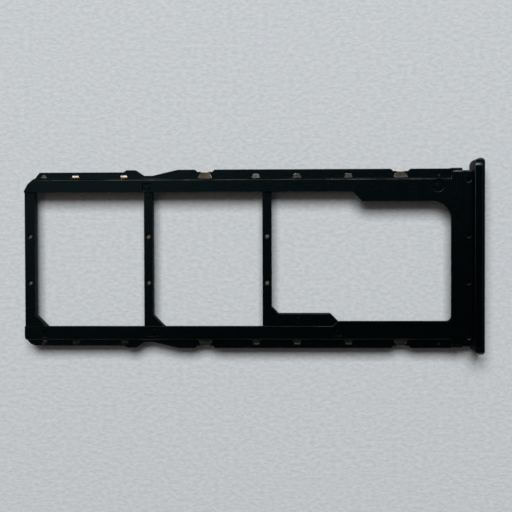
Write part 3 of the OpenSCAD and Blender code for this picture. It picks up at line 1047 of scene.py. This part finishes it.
@dataclass
class CoverPlate:
    """The blue-black plate that closes the slot, with soft corners and a crisp back edge.

    Lengths are in millimetres. The inner face has the normals whose part along X is less than
    inner_normal.
    """

    end_round: float = WIDEST
    heel_round: float = 0.52
    front_round: float = 0.28
    back_round: float = 0.03
    round_steps: int = 8
    inner_normal: float = -0.7
    finishes: tuple[SatinCover, ...] = (
        SatinCover("satin_blue_black", dark=(0.0001, 0.0002, 0.0004), light=(0.0002, 0.0006, 0.0012),
                   roughness=(0.22, 0.28), sheen=0.06, sheen_tint=(0.35, 0.80, 1.0)),
        SatinCover("worn_blue_black", dark=(0.0002, 0.0006, 0.0010), light=(0.0006, 0.0014, 0.0020),
                   roughness=(0.22, 0.30), sheen=0.36, sheen_tint=(0.65, 0.88, 1.0)),
        SatinCover("cover_walls", dark=(0.0002, 0.0005, 0.0008), light=(0.0005, 0.0010, 0.0014),
                   roughness=(0.60, 0.70), sheen=0.08),
    )

    def build(self) -> bpy.types.Object:
        """Models the plate from a block and rounds its ends, its heels and its rims.

        Returns:
            The finished piece, not dressed yet.
        """
        low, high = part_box("faceplate")
        plate = self.block("cover_plate", low, high, [finish.material() for finish in self.finishes])
        round_edges(plate, lambda edge: self.rim_at(edge, low.x, high.x), self.round_steps)
        finish_faces(plate, WALLS, lambda face: face.normal.x < self.inner_normal)
        soften_shading(plate)
        return plate

    def rim_at(self, edge: bmesh.types.BMEdge, back: float, front: float) -> float:
        """Gives the width of the rounding on an edge of the plate.

        Args:
            edge: An edge of the plain block.
            back: Place of the inner face along X, in metres.
            front: Place of the outer face along X, in metres.

        Returns:
            The width in millimetres.
        """
        if self.at(edge, front):
            return self.front_round
        if self.at(edge, back):
            return self.heel_round if self.runs(edge, "z") else self.back_round
        return self.end_round

    @staticmethod
    def block(name: str, low: Vector, high: Vector,
              materials: Sequence[bpy.types.Material]) -> bpy.types.Object:
        """Adds a plain block between two corners.

        Args:
            name: Name of the block.
            low: Its lowest corner.
            high: Its highest corner.
            materials: Materials of its slots.

        Returns:
            The block.
        """
        deselect_everything()
        bpy.ops.mesh.primitive_cube_add(size=1.0, location=(low + high) / 2, scale=high - low)
        block = bpy.context.object
        block.name = block.data.name = name
        give_finishes(block, materials)
        bpy.ops.object.transform_apply(location=True, rotation=True, scale=True)
        return block

    @staticmethod
    def runs(edge: bmesh.types.BMEdge, axis: str) -> bool:
        """Says whether an edge is parallel to the axis of that letter."""
        first, second = (vertex.co for vertex in edge.verts)
        return all(near(getattr(first, other), getattr(second, other)) for other in "xyz" if other != axis)

    @staticmethod
    def at(edge: bmesh.types.BMEdge, place: float) -> bool:
        """Says whether both ends of an edge lie at a place along X, in metres."""
        return all(near(vertex.co.x, place) for vertex in edge.verts)

    def dress(self, piece: bpy.types.Object) -> None:
        """Puts the plate on the body in place of its plain node."""
        hand_over(piece, "faceplate")


@dataclass(frozen=True)
class Lamp:
    """A soft rectangular lamp that points at the tray.

    The azimuth is in degrees from +X towards +Y and the elevation in degrees above the horizon.
    The distance and the size are in metres and the power in watts.
    """

    name: str
    azimuth: float
    elevation: float
    distance: float
    size: tuple[float, float]
    power: float
    colour: Colour


@dataclass
class Studio:
    """The sheet of paper, the lights and the camera.

    The camera's place, its lens and its sensor are in millimetres, its turns in radians, and its
    clip range and the size of the sheet in metres. The lamps are the window light on the keyed
    side and a dim panel over the insertion end.
    """

    lens: float = 85.918
    sensor: float = 36.0
    camera_place: tuple[float, float, float] = (3.731, 2.3475, 100.425)
    camera_turn: tuple[float, float, float] = (-0.0233, 0.0350, -0.0032)
    clip: Span = (0.001, 10.0)
    sheet_size: float = 1.2
    paper: PaleSheet = PaleSheet("pale_paper", tone=(0.76, 0.79, 0.82), shade=(0.655, 0.69, 0.725))
    lamps: tuple[Lamp, ...] = (
        Lamp("window_light", azimuth=94.0, elevation=65.3, distance=0.45, size=(0.22, 0.18),
             power=1.66, colour=(0.99, 1.0, 1.0)),
        Lamp("ceiling_panel", azimuth=150.0, elevation=76.0, distance=0.45, size=(0.16, 0.10),
             power=0.09, colour=(1.0, 0.90, 0.80)),
    )
    sky_tone: Colour = (1.0, 0.93, 0.89)
    sky_strength: float = 0.037

    def set_camera(self) -> None:
        """Puts the camera where the photograph was taken from."""
        deselect_everything()
        bpy.ops.object.camera_add(location=Vector(self.camera_place) * MM, rotation=self.camera_turn)
        camera = bpy.context.object
        camera.name = "portrait_camera"
        camera.data.lens = self.lens
        camera.data.sensor_width = self.sensor
        camera.data.clip_start, camera.data.clip_end = self.clip
        bpy.context.scene.camera = camera

    def lay_sheet(self) -> None:
        """Lays the pale sheet level under the lower edge of the cover plate."""
        deselect_everything()
        bpy.ops.mesh.primitive_plane_add(size=self.sheet_size, location=(0.0, 0.0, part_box("faceplate")[0].z))
        sheet = bpy.context.object
        sheet.name = sheet.data.name = "paper_sheet"
        bpy.ops.object.transform_apply(location=True, rotation=True, scale=True)
        sheet.data.materials.append(self.paper.material())

    @staticmethod
    def hang(lamp: Lamp) -> None:
        """Adds a lamp at its place and turns it to the tray.

        Args:
            lamp: The lamp to hang.
        """
        turn, lift = math.radians(lamp.azimuth), math.radians(lamp.elevation)
        level = Vector((math.cos(turn), math.sin(turn), 0.0))
        place = lamp.distance * (math.cos(lift) * level + Vector((0.0, 0.0, math.sin(lift))))
        aim = place.to_track_quat("Z", "Y").to_euler()
        deselect_everything()
        bpy.ops.object.light_add(type="AREA", location=place, rotation=aim)
        light = bpy.context.object
        light.name = lamp.name
        light.data.shape = "RECTANGLE"
        light.data.size, light.data.size_y = lamp.size
        light.data.energy = lamp.power
        light.data.color = lamp.colour

    def light(self) -> None:
        """Hangs the lamps and sets a dim sky."""
        for lamp in self.lamps:
            self.hang(lamp)
        world = bpy.data.worlds.new("dim_sky")
        world.use_nodes = True
        background = world.node_tree.nodes["Background"]
        background.inputs["Color"].default_value = (*self.sky_tone, 1.0)
        background.inputs["Strength"].default_value = self.sky_strength
        bpy.context.scene.world = world
        bpy.context.scene.view_settings.view_transform = "Standard"


def main() -> None:
    """Sets the studio, then builds and dresses each part of the tray in turn."""
    logging.basicConfig(level=logging.INFO, format="%(name)s: %(message)s")
    plan = TrayPlan()
    studio = Studio()
    studio.set_camera()
    studio.lay_sheet()
    studio.light()
    for part in (MouldedFrame(plan), SteelInsert(plan), CoverPlate()):
        part.dress(part.build())


if __name__ == "__main__":
    main()
